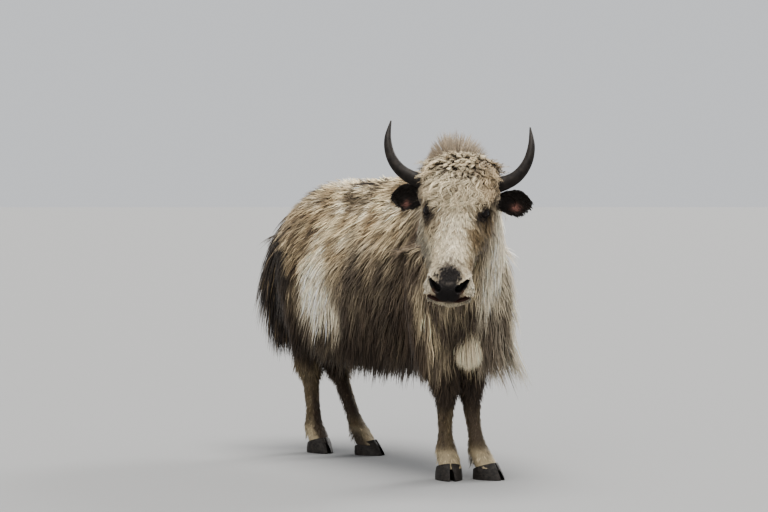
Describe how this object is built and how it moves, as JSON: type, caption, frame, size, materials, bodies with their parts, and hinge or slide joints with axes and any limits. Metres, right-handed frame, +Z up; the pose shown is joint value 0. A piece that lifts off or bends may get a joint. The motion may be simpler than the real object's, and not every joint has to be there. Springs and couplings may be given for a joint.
{
  "type": "yak",
  "caption": "Standing long-haired domestic yak with swept horns, a shaggy skirt of hair, a bushy tail and its head turned to the right.",
  "frame": {"origin": "middle of the bounding box, at the level of the soles", "axes": "+Z is up, the yak faces -Y and its left side is +X; its head is turned to its right, towards -X"},
  "size_m": [0.7259, 1.934, 1.218],
  "materials": {
    "head": "short curly cream hair",
    "ear": "black hair",
    "eye": "wet, dark brown",
    "horn": "smooth grey-black horn",
    "neck": "long grey-brown hair with cream streaks",
    "forequarters": "long cream and tan hair",
    "barrel": "long cream and tan hair",
    "hindquarters": "long tan hair, dark brown behind",
    "tail": "long dark brown hair",
    "foreleg": "short cream hair",
    "hindleg": "short cream and brown hair",
    "claw": "dark grey hoof horn"
  },
  "bodies": {
    "root": {"head": "head", "neck": "neck", "forequarters": "forequarters", "barrel": "barrel", "hindquarters": "hindquarters", "tail": "tail", "ear_right": "ear", "eye_right": "eye", "horn_right": "horn", "ear_left": "ear", "eye_left": "eye", "horn_left": "horn", "foreleg_upper_right": "foreleg", "foreleg_lower_right": "foreleg", "foreleg_upper_left": "foreleg", "foreleg_lower_left": "foreleg", "hindleg_upper_right": "hindleg", "hindleg_lower_right": "hindleg", "hindleg_upper_left": "hindleg", "hindleg_lower_left": "hindleg", "claw_fore_right_right": "claw", "claw_fore_right_left": "claw", "claw_fore_left_right": "claw", "claw_fore_left_left": "claw", "claw_hind_right_right": "claw", "claw_hind_right_left": "claw", "claw_hind_left_right": "claw", "claw_hind_left_left": "claw"}
  },
  "joints": []
}
